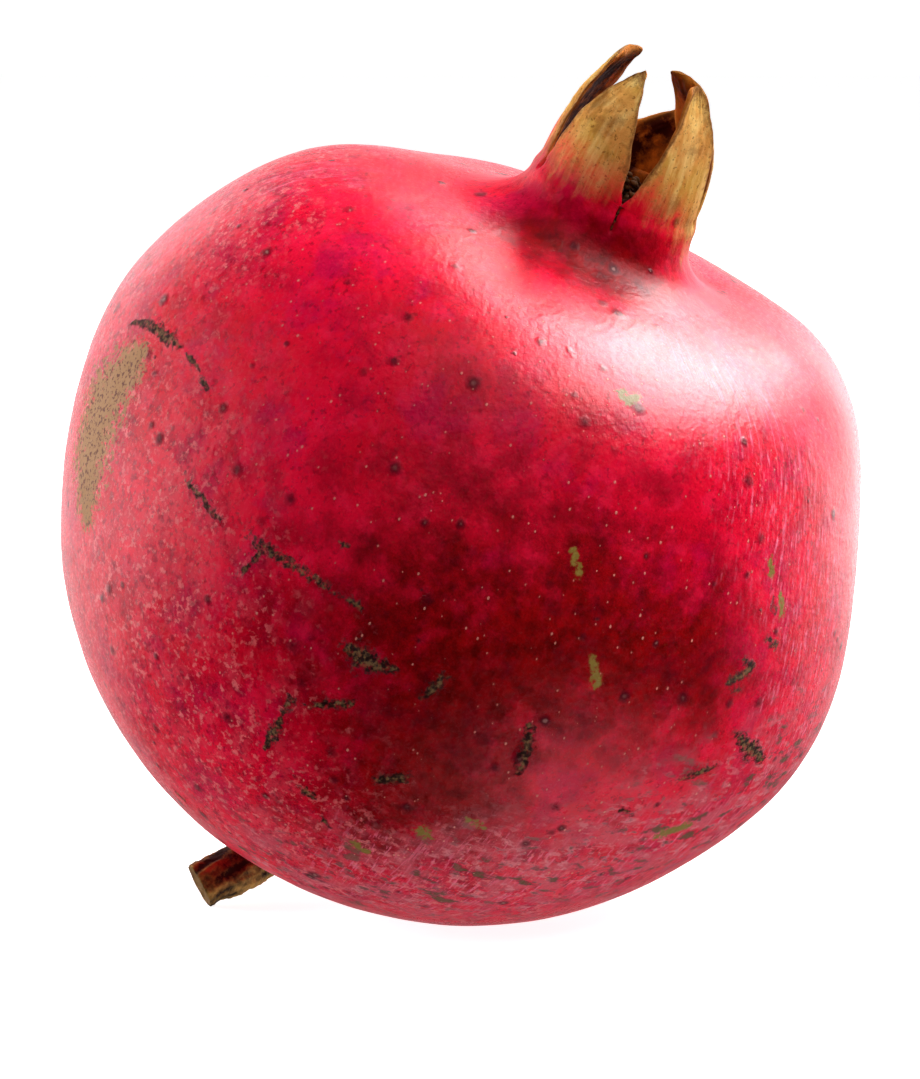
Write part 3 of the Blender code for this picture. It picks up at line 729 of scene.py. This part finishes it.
# %% Rind material
def make_rind_material():
    """Deep red waxy rind with flecks, pores, russet and scars, fading to tan sepals."""
    material = bpy.data.materials.new("waxy pomegranate rind")
    material.use_nodes = True
    tree = material.node_tree
    shader = tree.nodes["Principled BSDF"]
    place = fruit_place(tree)
    axes = put(tree, "SeparateXYZ", {0: place})
    height = axes.outputs["Z"]
    names = ("cork", "tan", "olive", "inside", "margin", *ZONES)
    mask = {name: put(tree, "Attribute", {}, attribute_name=name).outputs["Fac"] for name in names}

    # Growth lines: the same noise on a cylinder's coordinates, five times longer than wide. Bands
    # are twice as wide as they are high.
    level = put(tree, "VectorMath", {0: place, 1: (1.0, 1.0, 0.0)}, operation="MULTIPLY").outputs[0]
    level = put(tree, "VectorMath", {0: level}, operation="NORMALIZE").outputs[0]
    level = put(tree, "VectorMath", {0: level, "Scale": BODY_RADIUS}, operation="SCALE").outputs[0]
    climb = put(tree, "Math", {0: height, 1: 0.2}, operation="MULTIPLY").outputs[0]
    climb = put(tree, "CombineXYZ", {"Z": climb}).outputs[0]
    lines = put(tree, "VectorMath", {0: level, 1: climb}, operation="ADD").outputs[0]
    bands = put(tree, "VectorMath", {0: place, 1: (0.5, 0.5, 1.0)}, operation="MULTIPLY").outputs[0]
    pattern = {"spots": place, "lines": lines, "bands": bands}

    # Zones get ragged edges from coarse noise.
    sockets = {"Vector": place, "Scale": 1 / 14.0, "Detail": 4.0, "Roughness": 0.6}
    drift = put(tree, "TexNoise", sockets).outputs["Fac"]
    sockets = {"Vector": place, "Scale": 1 / 5.0, "Detail": 7.0, "Roughness": 0.68}
    patchy = put(tree, "TexNoise", sockets).outputs["Fac"]
    ragged = put(tree, "MapRange", {"Value": patchy, 1: 0.3, 2: 0.7, 3: -0.35, 4: 0.35}).outputs[0]
    zone = {"all": 1.0}
    for name in ZONES:
        uneven = put(tree, "Math", {0: mask[name], 1: ragged}, operation="ADD").outputs[0]
        sockets = {"Value": uneven, 1: 0.0, 2: 0.85}
        zone[name] = put(tree, "MapRange", sockets, interpolation_type="SMOOTHSTEP").outputs[0]

    # Bright crimson, deeper in places, and pure dark red on the cheek, which is partly the skin's own
    # ripe red and partly painted shade on the front and on the neck's front.
    drift = put(tree, "MapRange", {"Value": drift, 1: 0.35, 2: 0.65}).outputs[0]
    sockets = {0: drift, 6: linear("#E00026"), 7: linear("#FF0A3C")}
    colour = put(tree, "Mix", sockets, data_type="RGBA").outputs[2]
    sockets = {"Vector": place, "Scale": 1 / 2.2, "Detail": 6.0, "Roughness": 0.7}
    deep = put(tree, "TexNoise", sockets).outputs["Fac"]
    deep = put(tree, "MapRange", {"Value": deep, 1: 0.36, 2: 0.64}).outputs[0]
    sockets = {0: deep, 6: linear("#600000"), 7: linear("#A20006")}
    ripe_and_shaded_red = put(tree, "Mix", sockets, data_type="RGBA").outputs[2]
    colour = put(tree, "Mix", {0: zone["cheek_and_shade"], 6: colour, 7: ripe_and_shaded_red}, data_type="RGBA").outputs[2]
    for size, detail, first, full, amount, where, kind, hue in RIND_LAYERS:
        sockets = {"Vector": pattern[kind], "Scale": 1 / size, "Detail": detail, "Roughness": 0.65}
        noisy = put(tree, "TexNoise", sockets).outputs["Fac"]
        shown = put(tree, "MapRange", {"Value": noisy, 1: first, 2: full, 4: amount}).outputs[0]
        shown = put(tree, "Math", {0: shown, 1: zone[where]}, operation="MULTIPLY").outputs[0]
        if where == "all":
            calm = put(tree, "MapRange", {"Value": zone["cheek_and_shade"], 3: 1.0, 4: 0.12}).outputs[0]
            shown = put(tree, "Math", {0: shown, 1: calm}, operation="MULTIPLY").outputs[0]
        colour = put(tree, "Mix", {0: shown, 6: colour, 7: linear(hue)}, data_type="RGBA").outputs[2]

    # Lenticels: one to a cell, each with its own size, and dark round a core that may be pale.
    wobble = put(tree, "TexNoise", {"Vector": place, "Scale": 1 / 0.5, "Detail": 3.0}).outputs["Color"]
    sockets = {0: wobble, 1: (0.45, 0.45, 0.45), 2: place}
    bent = put(tree, "VectorMath", sockets, operation="MULTIPLY_ADD").outputs[0]
    cells = put(tree, "TexVoronoi", {"Vector": bent, "Scale": 1 / 4.2, "Randomness": 1.0})
    lot = put(tree, "SeparateXYZ", {0: cells.outputs["Color"]})
    sockets = {"Value": lot.outputs["X"], 1: 0.10, 2: 1.0, 3: 0.04, 4: 0.15}
    reach = put(tree, "MapRange", sockets).outputs[0]
    ratio = put(tree, "Math", {0: cells.outputs["Distance"], 1: reach}, operation="DIVIDE").outputs[0]
    pore = put(tree, "MapRange", {"Value": ratio, 1: 1.8, 2: 0.7}).outputs[0]
    core = put(tree, "MapRange", {"Value": ratio, 1: 0.55, 2: 0.30}).outputs[0]
    pore_amount = put(tree, "Math", {0: pore, 1: 0.80}, operation="MULTIPLY").outputs[0]
    sockets = {0: pore_amount, 6: colour, 7: linear("#3A0616")}
    colour = put(tree, "Mix", sockets, data_type="RGBA").outputs[2]
    core_amount = put(tree, "Math", {0: core, 1: lot.outputs["Y"]}, operation="MULTIPLY").outputs[0]
    sockets = {0: core_amount, 6: colour, 7: linear("#B07870")}
    colour = put(tree, "Mix", sockets, data_type="RGBA").outputs[2]

    # Pin-prick pale specks, up to a third of a millimetre wide: partly crumbs of wax and partly
    # painted glints of the wax. There are none close to the axis, on the neck, the crown and the
    # hidden stem end.
    tall = put(tree, "VectorMath", {0: place, 1: (1.0, 1.0, 0.7)}, operation="MULTIPLY").outputs[0]
    speck_cells = put(tree, "TexVoronoi", {"Vector": tall, "Scale": 1 / 0.9, "Randomness": 1.0})
    speck_lot = put(tree, "SeparateXYZ", {0: speck_cells.outputs["Color"]})
    sockets = {"Value": speck_lot.outputs["X"], 1: 0.25, 2: 1.0, 3: 0.0, 4: 0.18}
    speck_reach = put(tree, "MapRange", sockets).outputs[0]
    sockets = {0: speck_cells.outputs["Distance"], 1: speck_reach}
    speck_gap = put(tree, "Math", sockets, operation="SUBTRACT").outputs[0]
    crumbs_and_glints = put(tree, "MapRange", {"Value": speck_gap, 1: 0.0, 2: -0.03, 4: 0.75}).outputs[0]
    off_axis = put(tree, "VectorMath", {0: place, 1: (1.0, 1.0, 0.0)}, operation="MULTIPLY").outputs[0]
    off_axis = put(tree, "VectorMath", {0: off_axis}, operation="LENGTH").outputs["Value"]
    neck = put(tree, "MapRange", {"Value": off_axis, 1: 18.0, 2: 12.0}).outputs[0]
    crumbs_and_glints = put(tree, "Math", {0: crumbs_and_glints, 1: neck}, operation="SUBTRACT", use_clamp=True).outputs[0]
    colour = put(tree, "Mix", {0: crumbs_and_glints, 6: colour, 7: linear("#F09A88")}, data_type="RGBA").outputs[2]

    # Scars. Noise as fine as the cork's crumbs makes their soft masks ragged.
    sockets = {"Vector": place, "Scale": 1 / 0.7, "Detail": 5.0, "Roughness": 0.75}
    crumb = put(tree, "TexNoise", sockets).outputs["Fac"]
    crumb = put(tree, "MapRange", {"Value": crumb, 1: 0.3, 2: 0.7, 3: -0.75, 4: 0.75}).outputs[0]
    scar = {}
    for name, edge in (("tan", 0.3), ("olive", 0.35), ("cork", 0.6)):
        frayed = put(tree, "Math", {0: mask[name], 1: crumb}, operation="ADD").outputs[0]
        scar[name] = put(tree, "MapRange", {"Value": frayed, 1: 0.0, 2: edge}).outputs[0]
    sockets = {"Vector": place, "Scale": 1 / 0.5, "Detail": 2.0, "Roughness": 0.6}
    grain = put(tree, "TexNoise", sockets).outputs["Fac"]
    pits = put(tree, "MapRange", {"Value": grain, 1: 0.38, 2: 0.46}).outputs[0]
    sockets = {0: pits, 6: linear("#6E3A2C"), 7: linear("#B08054")}
    tan_colour = put(tree, "Mix", sockets, data_type="RGBA").outputs[2]
    colour = put(tree, "Mix", {0: scar["tan"], 6: colour, 7: tan_colour}, data_type="RGBA").outputs[2]
    sockets = {0: scar["olive"], 6: colour, 7: linear("#8E7434")}
    colour = put(tree, "Mix", sockets, data_type="RGBA").outputs[2]
    flaky = put(tree, "Math", {0: mask["cork"], 1: 0.25, 2: grain}, operation="MULTIPLY_ADD").outputs[0]
    flaky = put(tree, "MapRange", {"Value": flaky, 1: 0.62, 2: 0.78}).outputs[0]
    sockets = {0: flaky, 6: linear("#220808"), 7: linear("#86603A")}
    cork_colour = put(tree, "Mix", sockets, data_type="RGBA").outputs[2]
    colour = put(tree, "Mix", {0: scar["cork"], 6: colour, 7: cork_colour}, data_type="RGBA").outputs[2]

    # Up the crown: tan leather in streaks that run along the sepals. On the right, where the key light
    # falls, the pale tan reaches lower down, which is painted light.
    around = put(tree, "VectorMath", {0: place, 1: (1.0, 1.0, 0.12)}, operation="MULTIPLY").outputs[0]
    sockets = {"Vector": around, "Scale": 1 / 1.3, "Detail": 4.0, "Roughness": 0.6}
    streak = put(tree, "TexNoise", sockets).outputs["Fac"]
    lit_side_tan = put(tree, "MapRange", {"Value": axes.outputs["Y"], 1: 5.0, 2: 10.0, 4: 4.5}).outputs[0]
    uneven = put(tree, "Math", {0: streak, 1: 7.0, 2: height}, operation="MULTIPLY_ADD").outputs[0]
    uneven = put(tree, "Math", {0: patchy, 1: 9.0, 2: uneven}, operation="MULTIPLY_ADD").outputs[0]
    uneven = put(tree, "Math", {0: uneven, 1: lit_side_tan}, operation="ADD").outputs[0]
    sockets = {"Value": uneven, 1: 55.4, 2: 63.0}
    dryness = put(tree, "MapRange", sockets, interpolation_type="SMOOTHSTEP").outputs[0]
    broad = put(tree, "MapRange", {"Value": drift, 1: 0.2, 2: 0.8}).outputs[0]
    sockets = {0: broad, 6: linear("#DC9A4C"), 7: linear("#C8A442")}
    leather = put(tree, "Mix", sockets, data_type="RGBA").outputs[2]
    pale = put(tree, "MapRange", {"Value": streak, 1: 0.46, 2: 0.66, 4: 0.7}).outputs[0]
    leather = put(tree, "Mix", {0: pale, 6: leather, 7: linear("#F0CC7C")}, data_type="RGBA").outputs[2]
    stains = put(tree, "MapRange", {"Value": patchy, 1: 0.54, 2: 0.66, 4: 0.55}).outputs[0]
    sockets = {0: stains, 6: leather, 7: linear("#7C4416")}
    leather = put(tree, "Mix", sockets, data_type="RGBA").outputs[2]
    spotted = put(tree, "MapRange", {"Value": grain, 1: 0.60, 2: 0.68, 4: 0.6}).outputs[0]
    sockets = {0: spotted, 6: leather, 7: linear("#6A3210")}
    leather = put(tree, "Mix", sockets, data_type="RGBA").outputs[2]
    colour = put(tree, "Mix", {0: dryness, 6: colour, 7: leather}, data_type="RGBA").outputs[2]

    # Brown dried margins. Inside the crown, on the inner faces of the sepals and in the cup, the skin
    # is dark red-brown, with orange patches that are painted light shining through the sepals and a
    # painted glow along their margins.
    sockets = {0: grain, 6: linear("#4E200C"), 7: linear("#B87E42")}
    brown = put(tree, "Mix", sockets, data_type="RGBA").outputs[2]
    rim = put(tree, "Math", {0: crumb, 1: 0.45, 2: mask["margin"]}, operation="MULTIPLY_ADD").outputs[0]
    rim = put(tree, "MapRange", {"Value": rim, 1: 0.25, 2: 0.75}).outputs[0]
    colour = put(tree, "Mix", {0: rim, 6: colour, 7: brown}, data_type="RGBA").outputs[2]
    inner = put(tree, "MapRange", {"Value": patchy, 1: 0.46, 2: 0.62}).outputs[0]
    sockets = {0: inner, 6: linear("#3C0A04"), 7: linear("#D86A1C")}
    inner = put(tree, "Mix", sockets, data_type="RGBA").outputs[2]
    lip = put(tree, "Math", {0: mask["margin"], 1: 0.8}, operation="MULTIPLY").outputs[0]
    inner = put(tree, "Mix", {0: lip, 6: inner, 7: linear("#E0862E")}, data_type="RGBA").outputs[2]
    colour = put(tree, "Mix", {0: mask["inside"], 6: colour, 7: inner}, data_type="RGBA").outputs[2]
    tree.links.new(colour, shader.inputs["Base Color"])

    # Wax is glossy; cork, russet and dry sepals are not. Skin close to the axis has the least wax,
    # so it shines least.
    dull = put(tree, "Math", {0: scar["cork"], 1: scar["tan"]}, operation="MAXIMUM").outputs[0]
    dull = put(tree, "Math", {0: dull, 1: dryness}, operation="MAXIMUM").outputs[0]
    dull = put(tree, "Math", {0: zone["russet"], 1: 0.35, 2: dull}, operation="MULTIPLY_ADD").outputs[0]
    rough = put(tree, "MapRange", {"Value": dull, 3: 0.23, 4: 0.60}).outputs[0]
    rough = put(tree, "Math", {0: grain, 1: 0.08, 2: rough}, operation="MULTIPLY_ADD").outputs[0]
    rough = put(tree, "Math", {0: neck, 1: 0.12, 2: rough}, operation="MULTIPLY_ADD").outputs[0]
    shine = put(tree, "MapRange", {"Value": neck, 3: 0.5, 4: 0.12}).outputs[0]
    tree.links.new(rough, shader.inputs["Roughness"])
    tree.links.new(shine, shader.inputs["Specular IOR Level"])
    shader.inputs["IOR"].default_value = 1.5

    # Pebbled skin, growth lines, pores that stand a little proud and crumbs of cork.
    sockets = {"Vector": place, "Scale": 1 / 0.9, "Detail": 5.0, "Roughness": 0.6}
    pebble = put(tree, "TexNoise", sockets).outputs["Fac"]
    thread = put(tree, "TexNoise", {"Vector": lines, "Scale": 1 / 0.5, "Detail": 2.0}).outputs["Fac"]
    threads = put(tree, "Math", {0: thread, 1: zone["lines"]}, operation="MULTIPLY").outputs[0]
    raised = put(tree, "Math", {0: threads, 1: 0.6, 2: pebble}, operation="MULTIPLY_ADD").outputs[0]
    raised = put(tree, "Math", {0: pore, 1: 0.5, 2: raised}, operation="MULTIPLY_ADD").outputs[0]
    raised = put(tree, "Math", {0: crumbs_and_glints, 1: 0.6, 2: raised}, operation="MULTIPLY_ADD").outputs[0]
    sockets = {0: scar["cork"], 1: crumb, 2: raised}
    raised = put(tree, "Math", sockets, operation="MULTIPLY_ADD").outputs[0]
    relief_bump = put(tree, "Bump", {"Height": raised, "Strength": 1.0, "Distance": 0.13 * MM})
    tree.links.new(relief_bump.outputs[0], shader.inputs["Normal"])
    return material


rind_material = make_rind_material()
rind.data.materials.append(rind_material)
for sepal in sepals.values():
    sepal.data.materials.append(rind_material)
print(rind_material.name, "has", len(rind_material.node_tree.nodes), "nodes")

# %% [markdown]
# ## Dried stamens
# Dry plant thread is dull and brown, with yellower pollen sacs.

# %% Stamen material
def make_stamen_material():
    """Dusty brown threads with ochre pollen sacs."""
    material = bpy.data.materials.new("dried stamen thread")
    material.use_nodes = True
    tree = material.node_tree
    shader = tree.nodes["Principled BSDF"]
    place = fruit_place(tree)
    sac = put(tree, "Attribute", {}, attribute_name="sac").outputs["Fac"]
    spots = put(tree, "TexNoise", {"Vector": place, "Scale": 1 / 1.2, "Detail": 3.0}).outputs["Fac"]
    sockets = {0: spots, 6: linear("#200804"), 7: linear("#5E3018")}
    thread = put(tree, "Mix", sockets, data_type="RGBA").outputs[2]
    sockets = {0: spots, 6: linear("#2C1006"), 7: linear("#8A5626")}
    pollen = put(tree, "Mix", sockets, data_type="RGBA").outputs[2]
    colour = put(tree, "Mix", {0: sac, 6: thread, 7: pollen}, data_type="RGBA").outputs[2]
    tree.links.new(colour, shader.inputs["Base Color"])
    shader.inputs["Roughness"].default_value = 0.85
    fuzz = put(tree, "TexNoise", {"Vector": place, "Scale": 1 / 0.25, "Detail": 2.0}).outputs["Fac"]
    fuzz_bump = put(tree, "Bump", {"Height": fuzz, "Strength": 0.5, "Distance": 0.08 * MM})
    tree.links.new(fuzz_bump.outputs[0], shader.inputs["Normal"])
    return material


stamens.data.materials.append(make_stamen_material())

# %% [markdown]
# ## Twig bark
# Weathered bark is dark brown in its hollows and yellow-brown where the ridges are rubbed.

# %% Bark material
def make_bark_material():
    """Ridged brown bark, lighter on its ridges, and a pale broken end."""
    material = bpy.data.materials.new("weathered twig bark")
    material.use_nodes = True
    tree = material.node_tree
    shader = tree.nodes["Principled BSDF"]
    place = fruit_place(tree)
    ridge = put(tree, "Attribute", {}, attribute_name="ridge").outputs["Fac"]
    cut = put(tree, "Attribute", {}, attribute_name="cut").outputs["Fac"]
    sockets = {"Vector": place, "Scale": 1 / 0.8, "Detail": 5.0, "Roughness": 0.7}
    flake = put(tree, "TexNoise", sockets).outputs["Fac"]
    light = put(tree, "Math", {0: ridge, 1: 0.5, 2: flake}, operation="MULTIPLY_ADD").outputs[0]
    light = put(tree, "MapRange", {"Value": light, 1: 0.35, 2: 0.85}).outputs[0]
    sockets = {0: light, 6: linear("#1C0C04"), 7: linear("#B88A44")}
    colour = put(tree, "Mix", sockets, data_type="RGBA").outputs[2]
    sockets = {0: flake, 6: linear("#4A2A12"), 7: linear("#A07848")}
    wood = put(tree, "Mix", sockets, data_type="RGBA").outputs[2]
    colour = put(tree, "Mix", {0: cut, 6: colour, 7: wood}, data_type="RGBA").outputs[2]
    tree.links.new(colour, shader.inputs["Base Color"])
    shader.inputs["Roughness"].default_value = 0.8
    flake_bump = put(tree, "Bump", {"Height": flake, "Strength": 0.8, "Distance": 0.25 * MM})
    tree.links.new(flake_bump.outputs[0], shader.inputs["Normal"])
    return material


stem.data.materials.append(make_bark_material())

# %% [markdown]
# ## Table and lights
# A backlit white table with a white backdrop all round, the usual set for a picture of fruit on
# white. Both are glowing paper that only the camera sees: the shadow on it stays pale, and none of
# its glow falls on the fruit. A wide soft box on the right, above and a little behind, makes the
# one broad highlight on the fruit's shoulder, and a smaller one that only shows in reflections
# gives it a bright middle. The fills are soft boxes too, but they are left out of reflections:
# they lift the shadows without a veil over the red. The room is dark in front and bright behind,
# which keeps the cheek deep red and lights up the fruit's edge.

# %% Table
STUDIO_SIZE = 10.0


def paper_sheet(name, corners, faces, glow):
    """A backlit sheet that only the camera sees: it takes no part in reflections or shadows."""
    paper = bpy.data.materials.new("backlit white paper of the " + name)
    paper.use_nodes = True
    shader = paper.node_tree.nodes["Principled BSDF"]
    shader.inputs["Base Color"].default_value = linear("#F4F3F2")
    shader.inputs["Roughness"].default_value = 0.9
    shader.inputs["Emission Color"].default_value = (1.0, 1.0, 1.0, 1.0)
    shader.inputs["Emission Strength"].default_value = glow
    mesh = bpy.data.meshes.new(name)
    mesh.from_pydata(corners, [], faces)
    mesh.materials.append(paper)
    sheet = bpy.data.objects.new(name, mesh)
    bpy.context.scene.collection.objects.link(sheet)
    sheet.visible_diffuse = sheet.visible_glossy = sheet.visible_shadow = False


half = 0.5 * STUDIO_SIZE
square = [(-half, -half), (half, -half), (half, half), (-half, half)]
paper_sheet("table", [(x, y, 0.0) for x, y in square], [(0, 1, 2, 3)], 0.9)
wall_faces = [(i, (i + 1) % 4, (i + 1) % 4 + 4, i + 4) for i in range(4)]
paper_sheet("backdrop", [(x, y, z) for z in (0.0, half) for x, y in square], wall_faces, 1.0)
print("the table and the backdrop round it are", STUDIO_SIZE, "m wide")


# %% Lights
LAMP_DISTANCE = 1.0


def soft_box(name, azimuth, rise, size, strength, reflected=True, lighting=True):
    """A rectangular area light that faces the fruit.

    azimuth is in degrees from the front toward the right, rise in degrees above the table. The
    strength is how bright a white card at the fruit would look: 1 is full white. A box that is
    not reflected only lights the colours, and one without lighting only shows in the gloss.
    """
    azimuth, rise = math.radians(azimuth), math.radians(rise)
    level = math.cos(rise)
    toward = Vector((math.sin(azimuth) * level, -math.cos(azimuth) * level, math.sin(rise)))
    light = bpy.data.lights.new(name, "AREA")
    light.shape = "RECTANGLE"
    light.size, light.size_y = size
    light.energy = strength * (math.pi * LAMP_DISTANCE) ** 2
    lamp = bpy.data.objects.new(name, light)
    bpy.context.scene.collection.objects.link(lamp)
    lamp.location = CENTRE + toward * LAMP_DISTANCE
    lamp.rotation_euler = toward.to_track_quat("Z", "Y").to_euler()
    lamp.visible_glossy = reflected
    lamp.visible_diffuse = lighting
    print(name, "is", round(light.energy, 1), "W")


soft_box("key", 104.0, 50.0, (1.4, 0.55), 2.25)
soft_box("key_shine", 120.0, 42.0, (0.5, 0.40), 0.4, lighting=False)
soft_box("right_rim", 145.0, 5.0, (0.7, 0.5), 0.15)
soft_box("left_rim", 215.0, 26.0, (0.5, 0.45), 0.08)
soft_box("left_fill", 256.0, 8.0, (0.7, 0.7), 1.2, reflected=False)
soft_box("front_fill", 12.0, 52.0, (0.9, 0.9), 0.46, reflected=False)
soft_box("table_glow", 55.0, -65.0, (0.9, 0.9), 0.82, reflected=False)

world = bpy.data.worlds.new("white studio with a dark front")
bpy.context.scene.world = world
world.use_nodes = True
surround = world.node_tree
way = put(surround, "SeparateXYZ", {0: put(surround, "TexCoord", {}).outputs["Generated"]})
sockets = {"Value": way.outputs["Y"], 1: 0.0, 2: 0.6, 3: 0.02, 4: 1.1}
behind = put(surround, "MapRange", sockets, interpolation_type="SMOOTHSTEP").outputs[0]
tilt = put(surround, "Math", {0: way.outputs["Z"]}, operation="ABSOLUTE").outputs[0]
sockets = {"Value": tilt, 1: 0.1, 2: 0.5, 3: 1.0, 4: 0.12}
level = put(surround, "MapRange", sockets, interpolation_type="SMOOTHSTEP").outputs[0]
strength = put(surround, "Math", {0: behind, 1: level}, operation="MULTIPLY").outputs[0]
background = surround.nodes["Background"]
surround.links.new(strength, background.inputs["Strength"])
background.inputs["Color"].default_value = (1.0, 1.0, 1.0, 1.0)

# %% [markdown]
# ## Attach the pieces
# Each piece rides on the fruit's one body, and the CAD piece that it replaces is hidden.

# %% Attach the pieces and hide the CAD ones
STANDS_FOR = {"fruit_body": (rind, "rind"), "stamens": (stamens, "stamen"), "stem": (stem, "stem")}
for name, sepal in sepals.items():
    STANDS_FOR[name] = (sepal, "sepal")
for node_name, (piece, finish) in STANDS_FOR.items():
    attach(piece, "root")
    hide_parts(node_name)
